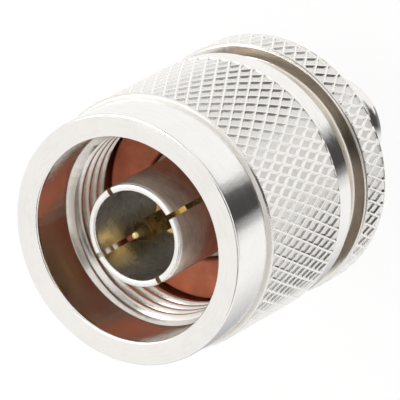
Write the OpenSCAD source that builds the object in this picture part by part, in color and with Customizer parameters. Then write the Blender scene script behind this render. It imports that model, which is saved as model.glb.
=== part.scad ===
// Coaxial adapter with an N plug at the top and an SMA plug at the bottom.
// It stands on the front face of the SMA nut. Z is the axis, and the origin is the centre of that face.
// Sizes are in millimetres. A depth is measured down from the front face of the N nut.

/* [N coupling nut] */
// Length of the nut
n_nut_l = 21; // [19.5:0.1:24]
// Diameter of the smooth front band
n_nut_d = 19.76; // [18.6:0.02:22]
// Bevel on the front outer edge
n_edge_bevel = 0.2; // [0.1:0.02:0.4]
// Length of the smooth front band
band_l = 4.3; // [3:0.1:5.5]
// Length of the main knurl
knurl_l = 10.05; // [8:0.05:11]
// Length of the smooth collar behind the main knurl
collar_l = 1.6; // [1:0.05:2.4]
// Height of the collar above the front band
collar_rise = 0.14; // [0:0.01:0.3]
// Width of the groove behind the collar
groove_w = 2.05; // [1:0.05:2.2]
// Depth of that groove below the collar
groove_depth = 1; // [0.6:0.05:1.4]
// Rounding of the groove's two inner corners
groove_round = 0.25; // [0.1:0.05:0.45]
// Plain rim at each end of the rear knurl, as high as the collar
rim_l = 0.15; // [0.15:0.05:0.4]

/* [Knurl] */
// Height of the ridges above the front band
knurl_rise = 0.32; // [0.15:0.01:0.4]
// Depth of the pits below the ridges
knurl_depth = 0.35; // [0.3:0.01:0.55]
// Number of ridges round the nut in each direction
knurl_count = 63; // [48:1:72]
// Angle of the ridges to the axis
knurl_angle = 28.5; // [25:0.5:35]
// Shortest distance from the end of a knurl to its first row of pits
knurl_lead = 0.3; // [0.3:0.05:0.5]
// Length of the smooth shoulder at each end of a knurl
knurl_shoulder = 0.2; // [0.1:0.05:0.25]
// Depth of that shoulder below the ridges
shoulder_drop = 0.05; // [0.02:0.01:0.1]

/* [N mouth] */
// Diameter of the smooth mouth in front of the thread
mouth_d = 16.04; // [16:0.02:16.4]
// Length of the smooth mouth
mouth_l = 4; // [3:0.1:4.6]
// Chamfer at the edge of the mouth
mouth_chamfer = 0.1; // [0.05:0.05:0.4]
// Major diameter of the thread
n_thread_d = 15.875; // [15.8:0.005:15.95]
// Diameter over the crests of the thread, which the bore is cut to
n_crest_d = 14.84; // [14.7:0.01:15]
// Length of the threaded bore
n_thread_l = 4.4; // [3.5:0.1:4.8]

/* [N contacts] */
// Depth of the front of the outer contact
contact_depth = 1.03; // [0.6:0.01:1.5]
// Outside diameter of the outer contact
sleeve_d = 8.12; // [8:0.02:8.3]
// Inside diameter of the outer contact
sleeve_bore_d = 7; // [6.9:0.02:7.2]
// Diameter of the outer contact's base, which is pressed into the body
sleeve_base_d = 9; // [8.6:0.1:9.6]
// Rounding of the outer contact's front edge
sleeve_round = 0.18; // [0.05:0.01:0.22]
// Number of saw slots in the outer contact
slot_count = 4; // [2:2:6]
// Width of a saw slot
slot_w = 0.4; // [0.25:0.05:0.6]
// Length of a saw slot
slot_l = 6; // [4:0.1:7.5]
// Diameter of the centre pin's thin end
pin_d = 1.65; // [1.6:0.01:1.7]
// Length of the centre pin's thin end
pin_l = 5.3; // [4.5:0.1:6]
// Diameter of the blunt point of the centre pin
pin_point_d = 0.4; // [0.2:0.05:0.6]
// Length of the tapered point of the centre pin
pin_point_l = 1.3; // [0.8:0.1:2]
// Diameter of the centre pin's thick part
pin_shoulder_d = 3.04; // [2.9:0.02:3.2]
// Diameter of the centre pin inside the bead
pin_stem_d = 2.1; // [1.9:0.05:2.4]

/* [Gasket and bead] */
// Distance from the front of the outer contact to the face of the gasket
gasket_setback = 8.87; // [8.6:0.01:9]
// Thickness of the gasket
gasket_t = 1.8; // [1.2:0.1:2.2]
// Overhang of the gasket beyond the flange that carries it
gasket_overhang = 0.15; // [0:0.05:0.2]
// Radial gap between the gasket and the base of the outer contact
gasket_gap = 0.15; // [0.1:0.05:0.6]
// Depth of that base below the face of the gasket
base_depth = 0.4; // [0.2:0.05:0.8]
// Length of outer contact that is pressed into the body
sleeve_seat_l = 2.8; // [2:0.1:3.2]
// Thickness of the insulating bead
bead_t = 2.5; // [2:0.1:2.6]

/* [Body] */
// Diameter of the flange that carries the gasket
flange_d = 15.2; // [14.6:0.1:17.2]
// Thickness of the flange
flange_t = 1.5; // [1:0.1:2]
// Diameter of the neck that the N nut turns on
n_neck_d = 12.8; // [12:0.1:13.4]
// Chamfer at the back edge of that neck
n_neck_chamfer = 0.3; // [0.1:0.05:0.5]
// Gap between the back faces of the two nuts
nut_gap = 1; // [0.4:0.1:3]

/* [SMA coupling nut] */
// Length of the nut
sma_nut_l = 8.6; // [7.8:0.1:9.5]
// Width across the flats of the hexagon
hex_af = 8; // [7.8:0.1:9]
// Diameter of the round rim in front of the hexagon
sma_rim_d = 8; // [7.6:0.1:8]
// Length of the round rim
sma_rim_l = 1.9; // [1:0.1:2.5]
// Bevel on the outer edge of the rim
sma_edge_bevel = 0.15; // [0.05:0.05:0.3]
// Radial step from the flats of the hexagon in to the round ends of its chamfers
hex_step = 0.15; // [0.1:0.01:0.3]
// Slope of the chamfers on the hexagon's corners, from the end face
hex_chamfer_angle = 30; // [20:1:40]
// Major diameter of the thread
sma_thread_d = 6.35; // [6.3:0.01:6.4]
// Diameter over the crests of the thread, which the bore is cut to
sma_crest_d = 5.7; // [5.66:0.01:5.8]
// Depth of the threaded bore behind the front face
sma_thread_l = 4.2; // [3.8:0.1:4.4]
// Length of the relief behind the thread
sma_relief_l = 0.8; // [0.6:0.05:1]

/* [SMA contacts] */
// Depth of the reference plane behind the nut's front face
sma_plane_depth = 2.6; // [2.2:0.1:3]
// Outside diameter of the contact sleeve
sma_sleeve_d = 4.58; // [4.5:0.01:4.6]
// Inside diameter of the contact sleeve
sma_bore_d = 4.1; // [4:0.02:4.16]
// Length of the contact sleeve
sma_sleeve_l = 2; // [1.9:0.1:2.1]
// Diameter of the neck that the SMA nut turns on
sma_neck_d = 5.4; // [5.3:0.02:5.5]
// Diameter of the centre pin in front of the reference plane
sma_pin_d = 0.914; // [0.9:0.002:0.94]
// Length of the centre pin in front of the reference plane
sma_pin_l = 2.1; // [1.5:0.1:2.1]
// Diameter of the centre pin's blunt end
sma_point_d = 0.4; // [0.2:0.05:0.5]
// Length of the centre pin's tapered end
sma_point_l = 0.35; // [0.2:0.05:0.6]
// Diameter of the centre pin inside the insulator
sma_stem_d = 1.27; // [1.1:0.01:1.4]
// Diameter of the pin's flange behind the bead
pin_flange_d = 2.6; // [2.3:0.1:3]
// Thickness of the pin's flange
pin_flange_t = 0.4; // [0.3:0.05:0.6]
// Diameter of the pin's tail, pressed into the back of the N pin
tail_d = 0.9; // [0.7:0.05:1.1]
// Length of the pin's tail
tail_l = 2; // [1:0.1:3]

/* [Retaining rings] */
// Thickness of the N ring along the axis
n_ring_t = 0.9; // [0.6:0.05:1.2]
// Depth of the N ring's groove in the neck
n_ring_bite = 0.7; // [0.5:0.05:0.8]
// Height of the N ring above the neck
n_ring_rise = 0.55; // [0.3:0.05:0.8]
// Distance from the flange to the N ring's groove
n_ring_setback = 2.4; // [1.5:0.1:3]
// Thickness of the SMA ring along the axis
sma_ring_t = 0.6; // [0.4:0.05:0.7]
// Depth of the SMA ring's groove in the neck
sma_ring_bite = 0.35; // [0.25:0.05:0.4]
// Height of the SMA ring above the neck
sma_ring_rise = 0.3; // [0.2:0.05:0.35]
// Distance from the relief to the SMA ring's groove
sma_ring_setback = 0.9; // [0.6:0.1:1.2]
// Width of the split in each ring
ring_split = 1.2; // [0.6:0.1:2]

/* [Clearances] */
// Radial gap of a pressed fit
press_gap = 0.01; // [0.005:0.005:0.02]
// Radial gap between a nut and the neck it turns on
running_gap = 0.06; // [0.03:0.01:0.1]
// Axial gap on each side of a turning piece
axial_play = 0.15; // [0.1:0.05:0.3]
// Radial gap round a ring in its nut, and behind a thread
relief_gap = 0.15; // [0.1:0.01:0.2]
// Least radial gap between the flange and the nut round it
flange_gap = 0.3; // [0.25:0.05:0.5]

/* [Hidden] */
$fn = 96;

// Finishes
NICKEL = [0.86, 0.85, 0.82];
GOLD = [0.83, 0.68, 0.38];
BRONZE = [0.72, 0.52, 0.3];
WHITE = [0.95, 0.95, 0.93];
RED_BROWN = [0.56, 0.27, 0.2];

// Overlap that lets a cut run clear of a face
cut = 0.5;
// Length by which a knurl's end is let into the band beside it
knurl_root_l = 0.1;
// Depth below the front band at which a knurl's shoulder starts
knurl_inset = 0.05;

// Heights of the N end
overall_l = n_nut_l + nut_gap + sma_nut_l;
n_nut_back_z = overall_l - n_nut_l;
mouth_end_z = overall_l - mouth_l;
lead_in = (mouth_d - n_crest_d) / 2;
n_thread_end_z = mouth_end_z - lead_in - n_thread_l;
contact_z = overall_l - contact_depth;
gasket_z = contact_z - gasket_setback - gasket_t;
flange_back_z = gasket_z - flange_t;
sleeve_back_z = gasket_z - sleeve_seat_l;
bead_back_z = sleeve_back_z - bead_t;
n_lip_z = flange_back_z - axial_play;
n_ring_z = flange_back_z - n_ring_setback - n_ring_t;

// Heights of the SMA end
sma_neck_z = sma_plane_depth + sma_sleeve_l;
sma_lip_z = sma_thread_l + sma_relief_l;
sma_ring_z = sma_lip_z + sma_ring_setback;
shoulder_z = sma_nut_l + 2 * axial_play;

// Radii
n_r = n_nut_d / 2;
collar_r = n_r + collar_rise;
crest_r = n_r + knurl_rise;
shoulder_r = crest_r - shoulder_drop;
root_r = crest_r - knurl_depth;
core_r = root_r - knurl_rise;
knurl_start_r = n_r - knurl_inset;
knurl_end_r = knurl_start_r - (shoulder_r - knurl_start_r) * knurl_root_l / knurl_shoulder;
n_neck_r = n_neck_d / 2;
sma_neck_r = sma_neck_d / 2;
n_relief_r = max(n_thread_d / 2 + relief_gap, flange_d / 2 + flange_gap);
sma_relief_r = sma_thread_d / 2 + relief_gap / 2;
hex_r = hex_af / 2 / cos(30);
gasket_d = flange_d + 2 * gasket_overhang;

// Depths of the bands on the N nut
collar_depth = band_l + knurl_l;
groove_start = collar_depth + collar_l;
groove_end = groove_start + groove_w;
rear_knurl_l = n_nut_l - groove_end - 2 * rim_l;

// Cylinder between two heights
module barrel(d, z_low, z_high) {
    translate([0, 0, z_low]) cylinder(d = d, h = z_high - z_low);
}

// Cone between two heights
module taper(d_low, d_high, z_low, z_high) {
    translate([0, 0, z_low]) cylinder(d1 = d_low, d2 = d_high, h = z_high - z_low);
}

// Solid cylinder pressed full of pits: rows of pit bottoms and ridge crossings in turn, between smooth shoulders
module knurled_barrel(z_low, length) {
    half_pitch = PI * crest_r / knurl_count;
    row_h = half_pitch / tan(knurl_angle);
    steps = max(0, floor((length - 2 * knurl_lead) / row_h));
    lead = (length - steps * row_h) / 2;
    columns = 2 * knurl_count;
    last = steps + 4;
    heights = concat(
        [-knurl_root_l, knurl_shoulder],
        [for (i = [0:steps]) lead + i * row_h],
        [length - knurl_shoulder, length + knurl_root_l]
    );
    function point_r(row, column) =
        row == 0 || row == last ? knurl_end_r
        : row == 1 || row == last - 1 ? shoulder_r
        : (row + column) % 2 == 0 ? root_r : crest_r;
    function index(row, column) = row * columns + column % columns;
    points = [
        for (row = [0:last], column = [0:columns - 1])
            let (r = point_r(row, column), a = 360 * column / columns)
                [r * cos(a), r * sin(a), z_low + heights[row]]
    ];
    // Each four-sided patch folds along the ridge between its two crossings
    sides = [
        for (row = [0:last - 1], column = [0:columns - 1])
            let (
                a = index(row, column),
                b = index(row, column + 1),
                c = index(row + 1, column + 1),
                d = index(row + 1, column)
            )
                each (row + column) % 2 == 0 ? [[a, d, b], [b, d, c]] : [[a, c, b], [a, d, c]]
    ];
    low_cap = [for (column = [0:columns - 1]) index(0, column)];
    high_cap = [for (column = [columns - 1:-1:0]) index(last, column)];
    polyhedron(points, concat(sides, [low_cap, high_cap]));
}

// Split ring that lies on the lower wall of its groove
module split_ring(neck_r, bite, rise, z_low, thickness) {
    outer_d = 2 * (neck_r + rise);
    difference() {
        barrel(outer_d, z_low, z_low + thickness);
        barrel(2 * (neck_r - bite + press_gap), z_low - cut, z_low + thickness + cut);
        translate([0, -ring_split / 2, z_low - cut]) cube([outer_d, ring_split, thickness + 2 * cut]);
    }
}

// Groove round a neck, a little wider than its ring
module neck_groove(neck_r, bite, z_low, thickness) {
    difference() {
        barrel(2 * neck_r + cut, z_low, z_low + thickness + axial_play);
        barrel(2 * (neck_r - bite), z_low - cut, z_low + thickness + axial_play + cut);
    }
}

// Groove inside a nut, with play all round its ring
module nut_groove(neck_r, rise, z_low, thickness) {
    barrel(2 * (neck_r + rise + relief_gap), z_low - axial_play, z_low + thickness + 2 * axial_play);
}

module adapter_body() {
    color(NICKEL) difference() {
        union() {
            barrel(flange_d, flange_back_z, gasket_z);
            barrel(n_neck_d, shoulder_z + n_neck_chamfer, flange_back_z + cut);
            taper(n_neck_d - 2 * n_neck_chamfer, n_neck_d, shoulder_z, shoulder_z + n_neck_chamfer);
            barrel(sma_neck_d, sma_neck_z, shoulder_z + cut);
            barrel(sma_sleeve_d, sma_plane_depth, sma_neck_z + cut);
        }
        barrel(sleeve_base_d + 2 * press_gap, bead_back_z, gasket_z + cut);
        barrel(sma_bore_d + 2 * press_gap, sma_plane_depth - cut, bead_back_z + cut);
        neck_groove(n_neck_r, n_ring_bite, n_ring_z, n_ring_t);
        neck_groove(sma_neck_r, sma_ring_bite, sma_ring_z, sma_ring_t);
    }
}

// Plain turned form of the N nut, narrowed under the knurls
module n_nut_blank() {
    front_z = overall_l - n_edge_bevel;
    band_z = overall_l - band_l;
    collar_z = overall_l - collar_depth;
    groove_z = overall_l - groove_end;
    taper(n_nut_d, n_nut_d - 2 * n_edge_bevel, front_z, overall_l);
    barrel(n_nut_d, band_z, front_z);
    barrel(2 * core_r, n_nut_back_z, band_z + cut);
    barrel(2 * collar_r, groove_z - rim_l, collar_z);
    barrel(2 * collar_r, n_nut_back_z, n_nut_back_z + rim_l);
}

// Groove behind the collar, with rounded inner corners
module rear_groove() {
    floor_r = collar_r - groove_depth;
    reach = crest_r + cut - floor_r;
    rotate_extrude()
        translate([floor_r, overall_l - groove_end]) {
            translate([groove_round, 0]) square([reach, groove_w]);
            translate([0, groove_round]) square([reach, groove_w - 2 * groove_round]);
            for (z = [groove_round, groove_w - groove_round])
                translate([groove_round, z]) circle(r = groove_round);
        }
}

// Everything that is bored out of the N nut
module n_nut_bores() {
    mouth_edge_d = mouth_d + 2 * mouth_chamfer;
    taper(mouth_d, mouth_edge_d, overall_l - mouth_chamfer, overall_l);
    barrel(mouth_edge_d, overall_l, overall_l + cut);
    barrel(mouth_d, mouth_end_z, overall_l + cut);
    taper(n_crest_d, mouth_d, mouth_end_z - lead_in, mouth_end_z);
    barrel(n_crest_d, n_thread_end_z - cut, mouth_end_z);
    barrel(2 * n_relief_r, n_lip_z, n_thread_end_z);
    barrel(n_neck_d + 2 * running_gap, n_nut_back_z - cut, n_lip_z + cut);
    nut_groove(n_neck_r, n_ring_rise, n_ring_z, n_ring_t);
}

module n_coupling_nut() {
    color(NICKEL) difference() {
        union() {
            n_nut_blank();
            knurled_barrel(overall_l - collar_depth, knurl_l);
            knurled_barrel(n_nut_back_z + rim_l, rear_knurl_l);
        }
        rear_groove();
        n_nut_bores();
    }
}

module n_retaining_ring() {
    color(BRONZE) split_ring(n_neck_r, n_ring_bite, n_ring_rise, n_ring_z, n_ring_t);
}

module gasket() {
    color(RED_BROWN) difference() {
        barrel(gasket_d, gasket_z, gasket_z + gasket_t);
        barrel(sleeve_base_d + 2 * gasket_gap, gasket_z - cut, gasket_z + gasket_t + cut);
    }
}

// Section of the outer contact's wall, with both front edges rounded and a thicker base
module sleeve_section() {
    wall = (sleeve_d - sleeve_bore_d) / 2;
    base_wall = (sleeve_base_d - sleeve_bore_d) / 2;
    length = contact_z - sleeve_back_z;
    translate([sleeve_bore_d / 2, sleeve_back_z]) {
        square([base_wall, sleeve_seat_l + gasket_t - base_depth]);
        square([wall, length - sleeve_round]);
        translate([sleeve_round, 0]) square([wall - 2 * sleeve_round, length]);
        for (x = [sleeve_round, wall - sleeve_round])
            translate([x, length - sleeve_round]) circle(r = sleeve_round);
    }
}

module outer_contact() {
    color(NICKEL) difference() {
        rotate_extrude() sleeve_section();
        for (i = [0:slot_count / 2 - 1])
            rotate([0, 0, 360 / slot_count * (i + 0.5)])
                translate([-sleeve_d, -slot_w / 2, contact_z - slot_l])
                    cube([2 * sleeve_d, slot_w, slot_l + cut]);
    }
}

module n_insulator() {
    color(WHITE) difference() {
        barrel(sleeve_base_d, bead_back_z, sleeve_back_z);
        barrel(pin_stem_d + 2 * press_gap, bead_back_z - cut, sleeve_back_z + cut);
    }
}

module n_pin() {
    point_z = contact_z - pin_point_l;
    color(GOLD) difference() {
        union() {
            taper(pin_d, pin_point_d, point_z, contact_z);
            barrel(pin_d, contact_z - pin_l - cut, point_z);
            barrel(pin_shoulder_d, sleeve_back_z, contact_z - pin_l);
            barrel(pin_stem_d, bead_back_z, sleeve_back_z + cut);
        }
        barrel(tail_d + 2 * press_gap, bead_back_z - cut, bead_back_z + tail_l + press_gap);
    }
}

module sma_pin() {
    tip_z = sma_plane_depth - sma_pin_l;
    color(GOLD) union() {
        taper(sma_point_d, sma_pin_d, tip_z, tip_z + sma_point_l);
        barrel(sma_pin_d, tip_z + sma_point_l, sma_plane_depth + cut);
        barrel(sma_stem_d, sma_plane_depth, bead_back_z);
        barrel(pin_flange_d, bead_back_z - pin_flange_t, bead_back_z);
        barrel(tail_d, bead_back_z - pin_flange_t, bead_back_z + tail_l);
    }
}

module sma_insulator() {
    color(WHITE) difference() {
        barrel(sma_bore_d, sma_plane_depth, bead_back_z);
        barrel(sma_stem_d + 2 * press_gap, sma_plane_depth - cut, bead_back_z + cut);
        barrel(pin_flange_d + 2 * press_gap, bead_back_z - pin_flange_t, bead_back_z + cut);
    }
}

// Outside of the SMA nut: a hexagon with chamfered corners behind a round rim
module sma_nut_blank() {
    face_d = hex_af - 2 * hex_step;
    over_d = 2 * hex_r + 2 * hex_step;
    chamfer_h = (over_d - face_d) / 2 * tan(hex_chamfer_angle);
    hex_z = sma_rim_l - hex_step / 3;
    taper(sma_rim_d - 2 * sma_edge_bevel, sma_rim_d, 0, sma_edge_bevel);
    barrel(sma_rim_d, sma_edge_bevel, sma_rim_l);
    intersection() {
        translate([0, 0, hex_z]) cylinder(r = hex_r, h = sma_nut_l - hex_z, $fn = 6);
        union() {
            taper(face_d, over_d, hex_z, hex_z + chamfer_h);
            barrel(over_d, hex_z + chamfer_h, sma_nut_l - chamfer_h);
            taper(over_d, face_d, sma_nut_l - chamfer_h, sma_nut_l);
        }
    }
}

module sma_coupling_nut() {
    entry = (sma_thread_d - sma_crest_d) / 2 + relief_gap / 2;
    color(NICKEL) difference() {
        sma_nut_blank();
        taper(sma_crest_d + 2 * entry, sma_crest_d, 0, entry);
        barrel(sma_crest_d + 2 * entry, -cut, 0);
        barrel(sma_crest_d, -cut, sma_thread_l + cut);
        barrel(2 * sma_relief_r, sma_thread_l, sma_lip_z);
        barrel(sma_neck_d + 2 * running_gap, sma_lip_z - cut, sma_nut_l + cut);
        nut_groove(sma_neck_r, sma_ring_rise, sma_ring_z, sma_ring_t);
    }
}

module sma_retaining_ring() {
    color(BRONZE) split_ring(sma_neck_r, sma_ring_bite, sma_ring_rise, sma_ring_z, sma_ring_t);
}

adapter_body();
n_coupling_nut();
n_retaining_ring();
gasket();
outer_contact();
n_insulator();
n_pin();
sma_pin();
sma_insulator();
sma_coupling_nut();
sma_retaining_ring();
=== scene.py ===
# %% [markdown]
# # A coaxial adapter, from an N plug to an SMA plug
# The packed CAD model gives the frame: where every piece sits, which body it turns with and how big it is.
# This lesson dresses that frame. It stands on its small SMA nut, with the wide N mouth opening upwards.
# Lengths are written in millimetres and heights are measured up from the floor; MM turns them into metres.

# %% Load the packed model
import math

import bmesh
import bpy
import numpy as np
from mathutils import Matrix, Vector


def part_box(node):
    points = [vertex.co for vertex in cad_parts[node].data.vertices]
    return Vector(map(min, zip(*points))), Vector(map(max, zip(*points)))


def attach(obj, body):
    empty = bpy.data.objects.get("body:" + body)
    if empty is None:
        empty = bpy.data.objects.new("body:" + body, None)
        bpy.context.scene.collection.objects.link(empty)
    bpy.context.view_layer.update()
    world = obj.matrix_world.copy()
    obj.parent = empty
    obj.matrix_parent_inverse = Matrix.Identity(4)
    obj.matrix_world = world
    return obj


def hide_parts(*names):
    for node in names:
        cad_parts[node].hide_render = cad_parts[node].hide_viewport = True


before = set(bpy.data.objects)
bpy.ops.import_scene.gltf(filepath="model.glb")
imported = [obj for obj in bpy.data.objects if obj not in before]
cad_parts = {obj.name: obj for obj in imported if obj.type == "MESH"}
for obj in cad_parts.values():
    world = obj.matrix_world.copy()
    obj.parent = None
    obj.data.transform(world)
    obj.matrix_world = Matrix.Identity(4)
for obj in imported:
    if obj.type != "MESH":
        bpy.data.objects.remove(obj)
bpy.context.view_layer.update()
MM = 0.001

# %% [markdown]
# ## Sizes
# The boxes of the CAD nodes give the ends of each piece. The few sizes that a box can't show, such as the
# lengths of the bands on the big nut, are repeated from the part's source, once each, where a step first
# needs them. They could be measured on the CAD meshes, but a named size is easier to read and to change.

# %% Bands of the big nut
BAND_R = 9.88
COLLAR_R = 10.02
BAND_LENGTH = 4.3
KNURL_LENGTH = 10.05
COLLAR_LENGTH = 1.6
GROOVE_WIDTH = 2.05
RIM_LENGTH = 0.15


def reach(node):
    """Lowest height, highest height and widest radius of a CAD node, in millimetres."""
    low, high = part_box(node)
    return low.z / MM, high.z / MM, high.x / MM


nut_back, nut_front, crest_r = reach("n_coupling_nut")
knurl_top = nut_front - BAND_LENGTH
knurl_low = knurl_top - KNURL_LENGTH
groove_top = knurl_low - COLLAR_LENGTH
groove_low = groove_top - GROOVE_WIDTH
rear_top = groove_low - RIM_LENGTH
rear_low = nut_back + RIM_LENGTH
print("Big nut:", round(nut_back, 2), "to", round(nut_front, 2), "mm, ridges at", round(crest_r, 2), "mm")

# %% [markdown]
# ## Shader sums
# A finish is worked out from a point's place on the piece. Wired by hand, that is a long chain of Math nodes.
# The class below wraps one socket, so a finish reads as a plain sum, and each sum adds its own Math node.

# %% A socket that takes part in sums
def both_ways(operation):
    """An operator on wires and its reflected form, each of which adds a Math node."""
    def plain(wire, other):
        return wire.maths(operation, wire, other)

    def reflected(wire, other):
        return wire.maths(operation, other, wire)

    return plain, reflected


# Sockets of a Mix node that blends colours: both inputs and the output
MIX_FIRST = 6
MIX_SECOND = 7
MIX_COLOUR = 2


class Wire:
    """One socket of a node tree. Sums of wires add Math nodes to the tree."""

    __add__, __radd__ = both_ways("ADD")
    __sub__, __rsub__ = both_ways("SUBTRACT")
    __mul__, __rmul__ = both_ways("MULTIPLY")
    __truediv__, __rtruediv__ = both_ways("DIVIDE")
    __mod__, __rmod__ = both_ways("FLOORED_MODULO")
    __pow__, __rpow__ = both_ways("POWER")

    def __init__(self, tree, socket=None):
        self.tree = tree
        self.socket = socket

    def node(self, kind, settings, sockets, out=0):
        """Adds a node, sets its settings, then its sockets, and gives one of its outputs."""
        made = self.tree.nodes.new(kind)
        for name, value in settings.items():
            setattr(made, name, value)
        for name, value in sockets.items():
            if isinstance(value, Wire):
                self.tree.links.new(value.socket, made.inputs[name])
            else:
                made.inputs[name].default_value = value
        return Wire(self.tree, made.outputs[out] if made.outputs else None)

    def maths(self, operation, first, second=0.0):
        return self.node("ShaderNodeMath", {"operation": operation}, {0: first, 1: second})

    def __floordiv__(self, other):
        return self.maths("FLOOR", self / other)

    def at_least(self, other):
        return self.maths("MAXIMUM", self, other)

    def between(self, low, high):
        """0 below low, 1 above high, and a smooth step between them."""
        settings = {"interpolation_type": "SMOOTHSTEP"}
        return self.node("ShaderNodeMapRange", settings, {"Value": self, "From Min": low, "From Max": high})

    def span(self, low, high):
        """low where this wire is 0, and high where it is 1."""
        return low + self * (high - low)

    def blend(self, first, second):
        """The first colour where this wire is 0 and the second where it is 1."""
        sockets = {0: self, MIX_FIRST: first, MIX_SECOND: second}
        return self.node("ShaderNodeMix", {"data_type": "RGBA"}, sockets, MIX_COLOUR)

    def tint(self, dark, light):
        """A blend of two plain colours."""
        return self.blend((*dark, 1), (*light, 1))


print("A wire offers", ", ".join(name for name in vars(Wire) if not name.startswith("_")))

# %% A new finish, and a point's place on a turned piece
def new_finish(name):
    """An empty material, and a wire to build its tree with."""
    material = bpy.data.materials.new(name)
    material.use_nodes = True
    material.node_tree.nodes.clear()
    return material, Wire(material.node_tree)


def place_in_mm(tree):
    """The x, y and z of a point of the piece, in millimetres."""
    place = tree.node("ShaderNodeTexCoord", {}, {}, "Object")
    return [tree.node("ShaderNodeSeparateXYZ", {}, {0: place}, axis) / MM for axis in "XYZ"]


def from_axis(place):
    """A point's distance from the axis of the lathe, in millimetres."""
    x, y, _ = place
    return (x * x + y * y) ** 0.5


def bumped(tree, height, depth):
    """A normal that follows a height from 0 to 1, at this depth in millimetres."""
    return tree.node("ShaderNodeBump", {}, {"Height": height, "Strength": 1.0, "Distance": depth * MM})


def close_finish(tree, colour, roughness, normal, metallic=0.0):
    """Ends a tree in a Principled shader. A constant goes straight on the shader's own socket."""
    sockets = {"Base Color": colour, "Roughness": roughness, "Normal": normal, "Metallic": metallic}
    shader = tree.node("ShaderNodeBsdfPrincipled", {}, sockets)
    tree.node("ShaderNodeOutputMaterial", {}, {"Surface": shader})


print("Finish helpers ready, in units of", MM, "m")

# %% Noise for turned and for moulded surfaces
AXIS_GAP = 0.01
LATHE_ROUGHNESS = 0.6


def lathe_noise(tree, place, turns, fine, detail):
    """Noise drawn out along the cut of a lathe tool: long round the axis, fine along it and across it."""
    x, y, z = place
    radius = from_axis(place).at_least(AXIS_GAP)
    around = {"X": x / radius * turns, "Y": y / radius * turns, "Z": z * fine}
    sockets = {
        "Vector": tree.node("ShaderNodeCombineXYZ", {}, around),
        "W": radius * fine,
        "Scale": 1.0,
        "Detail": detail,
        "Roughness": LATHE_ROUGHNESS,
    }
    return tree.node("ShaderNodeTexNoise", {"noise_dimensions": "4D"}, sockets)


def cloud_noise(tree, place, fine, detail):
    """Even noise, with about this many lumps to a millimetre."""
    spot = tree.node("ShaderNodeCombineXYZ", {}, dict(zip("XYZ", place)))
    return tree.node("ShaderNodeTexNoise", {}, {"Vector": spot, "Scale": fine, "Detail": detail})


def mixed(first, second, part):
    """Two noises in one: this part of the first, and the rest of the second."""
    return first * part + second * (1 - part)


print("Lathe noise is held", AXIS_GAP, "mm off the axis")

# %% [markdown]
# ## Nickel
# The nuts, the body and the contact sleeve are brass under bright nickel, which is a warm, pale grey.
# The lathe leaves fine rings, drawn out round the axis, which fray the edges of every reflection. Handling
# leaves faint dull patches. In the groove the nickel is painted darker and browner, as painted shade, and
# darker still under its upper edge, also painted shade. All of it could be painted on an image; noise on the
# point's own place needs none, and no seam.

# %% Bright turned nickel
NICKEL_DARK = (0.88, 0.86, 0.83)
NICKEL_LIGHT = (0.93, 0.915, 0.89)
GROOVE_SHADE_DARK = (0.72, 0.68, 0.62)
GROOVE_SHADE_LIGHT = (0.84, 0.80, 0.74)
EDGE_SHADE_DARK = (0.22, 0.185, 0.15)
EDGE_SHADE_LIGHT = (0.32, 0.275, 0.23)
LATHE_RINGS = {"turns": 9.0, "fine": 5.0, "detail": 2.0}
LATHE_HAIR = {"turns": 60.0, "fine": 14.0, "detail": 2.0}
HANDLING = {"fine": 0.45, "detail": 3.0}
RINGS_IN_TONE = 0.5
RINGS_IN_RELIEF = 0.15
HANDLING_IN_GLOSS = 0.6
NICKEL_TONES = (0.25, 0.6)
NICKEL_DULLING = (0.35, 0.7)
GROOVE_SHADE_EDGE = (0.12, 0.04)
GROOVE_SHADE_DULL = 0.08
EDGE_SHADE_HEIGHT = (0.40, 0.20)


def turned_nickel(name, relief, gloss_range, groove=None):
    """Nickel with lathe rings. A groove, as its rim's radius and its top, gets brown painted shade, darkest
    at its top.
    """
    material, tree = new_finish(name)
    place = place_in_mm(tree)
    rings = lathe_noise(tree, place, **LATHE_RINGS)
    hair = lathe_noise(tree, place, **LATHE_HAIR)
    handling = cloud_noise(tree, place, **HANDLING)
    tone = mixed(rings, handling, RINGS_IN_TONE).between(*NICKEL_TONES)
    colour = tone.tint(NICKEL_DARK, NICKEL_LIGHT)
    gloss = mixed(handling, hair, HANDLING_IN_GLOSS).between(*NICKEL_DULLING).span(*gloss_range)
    if groove:
        rim, top = groove
        # Painted shade: the groove is darker and browner, and darker still under its upper edge.
        groove_shade = 1 - from_axis(place).between(*[rim - inset for inset in GROOVE_SHADE_EDGE])
        edge_shade = place[2].between(*[top - drop for drop in EDGE_SHADE_HEIGHT])
        shaded_groove_colour = edge_shade.blend(tone.tint(GROOVE_SHADE_DARK, GROOVE_SHADE_LIGHT), tone.tint(EDGE_SHADE_DARK, EDGE_SHADE_LIGHT))
        colour = groove_shade.blend(colour, shaded_groove_colour)
        gloss = gloss + groove_shade * GROOVE_SHADE_DULL
    height = mixed(rings, hair, RINGS_IN_RELIEF)
    close_finish(tree, colour, gloss, bumped(tree, height, relief), metallic=1.0)
    return material


BAND_RELIEF = 0.007
COLLAR_RELIEF = 0.005
BORE_RELIEF = 0.003
BRIGHT_GLOSS = (0.08, 0.16)
BORE_GLOSS = (0.16, 0.28)
nickel = turned_nickel("turned_nickel", BAND_RELIEF, BRIGHT_GLOSS)
collar_nickel = turned_nickel("collar_nickel", COLLAR_RELIEF, BRIGHT_GLOSS, (COLLAR_R, groove_top))
nickel_inside = turned_nickel("bored_nickel", BORE_RELIEF, BORE_GLOSS)
print("Made", nickel.name, collar_nickel.name, "and", nickel_inside.name)

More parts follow.
